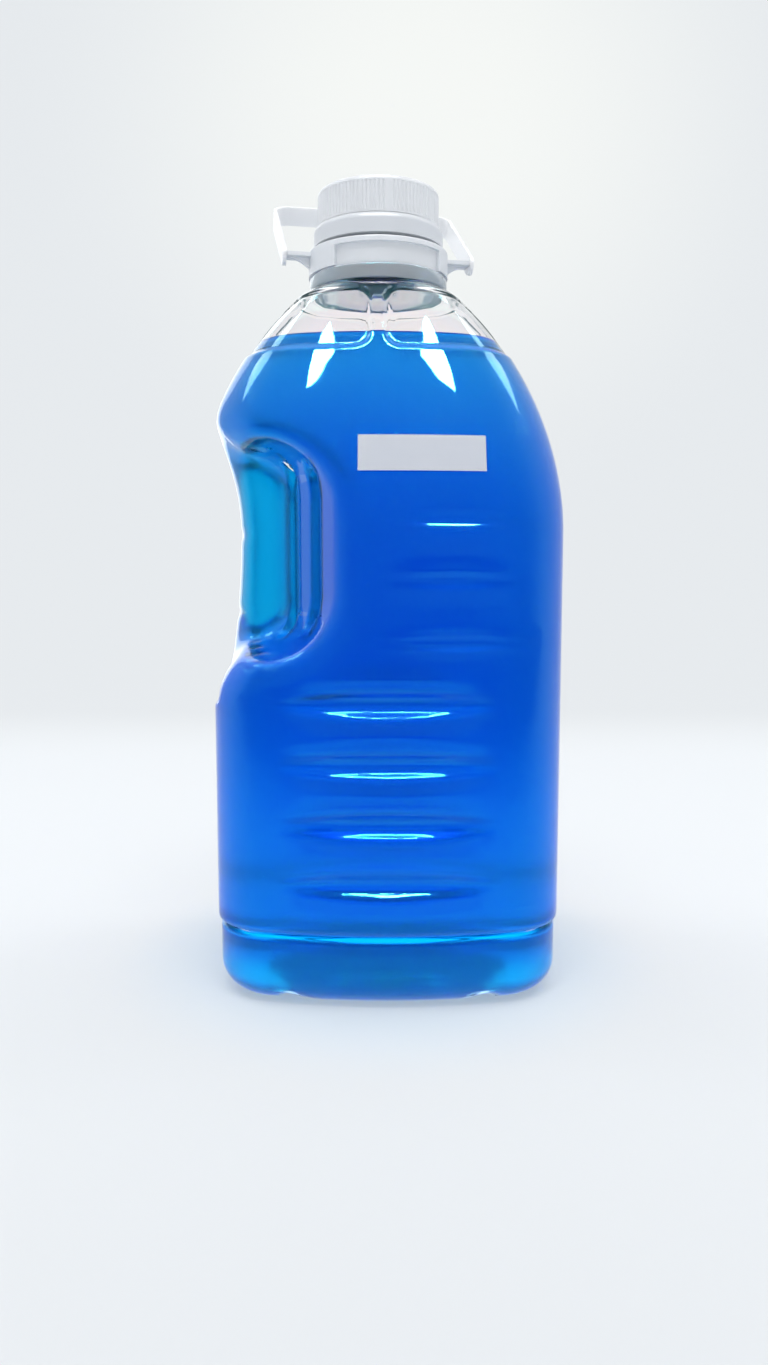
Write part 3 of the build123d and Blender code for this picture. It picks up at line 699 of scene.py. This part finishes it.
def floorMaterial():
    # Matt paper that takes the shadow, mixed with its own plain colour for what the camera sees. Through
    # glass it is painted brighter near and under the bottle, standing in for the light that gathers behind
    # one that is full.
    material, nodes, links, shader = newMaterial("paleFloor")
    tree = material.node_tree
    shader.inputs["Base Color"].default_value = (*stage["colour"], 1)
    shader.inputs["Roughness"].default_value = stage["roughness"]
    shader.inputs["Specular IOR Level"].default_value = 0.0
    path = nodes.new("ShaderNodeLightPath")
    through, mirrored = path.outputs["Is Transmission Ray"], path.outputs["Is Glossy Ray"]
    place = nodes.new("ShaderNodeTexCoord")
    parts = nodes.new("ShaderNodeSeparateXYZ")
    links.new(place.outputs["Object"], parts.inputs["Vector"])
    depthAxis = parts.outputs["Y"]
    onWall = easedRange(tree, depthAxis, *zones["wall"])
    within = distanceMask(tree, *zones["within"])
    # Painted shade: the paper grows darker toward the camera
    colour = mixColours(tree, easedRange(tree, depthAxis, *zones["paintedFrontShade"]), stage["table"], stage["paintedFrontShade"])
    # Painted shadow: a blue-tinted darkening of the paper round the bottle's foot
    colour = mixColours(tree, distanceMask(tree, *zones["paintedShadow"]), colour, stage["paintedShadow"])
    colour = mixColours(tree, within, stage["far"], colour)
    colour = mixColours(tree, onWall, colour, stage["wall"])
    # Painted light: a pale pool on the backdrop behind the bottle
    colour = mixColours(tree, distanceMask(tree, *zones["glow"]), colour, stage["glow"])
    # Painted light: seen only through glass, the paper near the bottle is brighter, and brighter still under
    # it
    near = combined(tree, "MULTIPLY", distanceMask(tree, *zones["paintedGatheredLight"]), through)
    paintedGatheredLight = mixColours(tree, distanceMask(tree, *zones["under"]), stage["paintedGatheredLight"], stage["under"])
    glow = nodes.new("ShaderNodeEmission")
    links.new(mixColours(tree, near, colour, paintedGatheredLight), glow.inputs["Color"])
    # Far from the object the paper passes into the surround, so no edge shows from any side
    merged = blended(tree, within, 1.0, stage["seenShare"])
    direct = blended(tree, onWall, merged, stage["wallShare"])
    share = combined(tree, "MULTIPLY", direct, path.outputs["Is Camera Ray"])
    for ray, seen in ((through, stage["throughShare"]), (mirrored, stage["glossyShare"])):
        share = combined(tree, "MAXIMUM", share, combined(tree, "MULTIPLY", ray, seen))
    paper = mixShaders(tree, share, shader.outputs[0], glow.outputs[0])
    # Reflections fade into the dim room behind the camera
    dim = nodes.new("ShaderNodeEmission")
    dim.inputs["Color"].default_value = (*stage["dim"], 1)
    dimShare = combined(tree, "MULTIPLY", easedRange(tree, depthAxis, *zones["dim"]), mirrored)
    dimmed = mixShaders(tree, dimShare, paper, dim.outputs[0])
    links.new(dimmed, nodes["Material Output"].inputs["Surface"])
    return material


def makeStage():
    # A floor that bends up into a backdrop: a straight run, a quarter circle, a straight run
    turn = np.linspace(0, math.pi / 2, stage["bendSteps"])
    wallY = stage["back"] + stage["bend"]
    y = np.concatenate([[-stage["front"]], stage["back"] + stage["bend"] * np.sin(turn), [wallY]])
    z = np.concatenate([[0], stage["bend"] * (1 - np.cos(turn)), [stage["height"]]])
    left = np.stack([np.full(y.shape, -stage["side"]), y, z], -1)
    right = left * (-1, 1, 1)
    index = np.arange(len(y) - 1)
    faces = np.stack([index, index + len(y), index + len(y) + 1, index + 1], -1)
    obj = addMesh("floor", np.concatenate([left, right]), faces)
    obj.data.materials.append(floorMaterial())


# The light on the object, and the range of directions over which reflections leave the dim room
studio = {"light": (0.95, 0.97, 1.0), "strength": 0.72, "ahead": (-0.8, -0.05)}


def dressWorld():
    # Plain light for the object, a pale surround for the camera and through glass, and for reflections
    # the same surround, fading to a dim room behind the camera
    world = bpy.data.worlds.new("studio")
    bpy.context.scene.world = world
    world.use_nodes = True
    tree = world.node_tree
    nodes, links = tree.nodes, tree.links
    lit = nodes["Background"]
    lit.inputs["Color"].default_value = (*studio["light"], 1)
    lit.inputs["Strength"].default_value = studio["strength"]
    shown = nodes.new("ShaderNodeBackground")
    shown.inputs["Color"].default_value = (*stage["far"], 1)
    mirrored = nodes.new("ShaderNodeBackground")
    place = nodes.new("ShaderNodeTexCoord")
    parts = nodes.new("ShaderNodeSeparateXYZ")
    links.new(place.outputs["Generated"], parts.inputs["Vector"])
    ahead = easedRange(tree, parts.outputs["Y"], *studio["ahead"])
    links.new(mixColours(tree, ahead, stage["dim"], stage["far"]), mirrored.inputs["Color"])
    path = nodes.new("ShaderNodeLightPath")
    lighting = mixShaders(tree, path.outputs["Is Glossy Ray"], lit.outputs[0], mirrored.outputs[0])
    seen = combined(tree, "MAXIMUM", path.outputs["Is Camera Ray"], path.outputs["Is Transmission Ray"])
    links.new(mixShaders(tree, seen, lighting, shown.outputs[0]), nodes["World Output"].inputs["Surface"])


makeStage()
dressWorld()


def addLamp(name, place, aim, size, power):
    # A rectangular lamp turned toward its aim, with its size in metres and its power in watts
    lamp = bpy.data.lights.new(name, "AREA")
    lamp.shape = "RECTANGLE"
    lamp.size, lamp.size_y = size
    lamp.energy = power
    obj = bpy.data.objects.new(name, lamp)
    bpy.context.scene.collection.objects.link(obj)
    toward = mathutils.Vector(aim) - mathutils.Vector(place)
    obj.location = place
    obj.rotation_euler = toward.to_track_quat("-Z", "Y").to_euler()
    return obj


addLamp("overhead", (0.0, 0.3, 2.0), (0, 0, 0.1), (1.8, 1.0), 3.5)
addLamp("keyStrip", (0.0, -0.635, 1.515), (0, 0, 0.1), (0.9, 0.035), 5.0)
# A weak fill from the front, kept out of reflections
fillBox = addLamp("fillBox", (0.0, -1.9, 0.75), (0, 0, 0.2), (1.2, 0.8), 2.8)
fillBox.visible_glossy = False
fillBox.visible_transmission = False
for name, side in (("leftBox", -1.2), ("rightBox", 1.2)):
    addLamp(name, (side, 0.35, 1.7), (0, 0, 0.25), (0.5, 0.35), 3.5)
# Two boxes that only show as reflections: one whitens the highlights of the key strip, the other is tall,
# behind the left side, and draws a pale rim down it
for gleam in (addLamp("gleamStrip", (0.0, -0.64, 1.512), (0, 0, 0.1), (0.9, 0.085), 42.0),
              addLamp("edgeBox", (-0.53, 0.92, 0.5), (0, 0, 0.15), (0.6, 0.9), 1.9)):
    gleam.visible_diffuse = False
    gleam.visible_transmission = False
    gleam.visible_camera = False

view = {"lens": 27.61, "sensor": 36.0, "place": (-0.00155, -0.461, 0.173), "down": 6.133}
camera = bpy.data.cameras.new("camera")
camera.lens = view["lens"]
camera.sensor_width = view["sensor"]
cameraObject = bpy.data.objects.new("camera", camera)
bpy.context.scene.collection.objects.link(cameraObject)
cameraObject.location = view["place"]
cameraObject.rotation_euler = (math.radians(90 - view["down"]), 0, 0)
bpy.context.scene.camera = cameraObject
bpy.context.scene.view_settings.view_transform = "Standard"
print("stage, lamps and camera set")
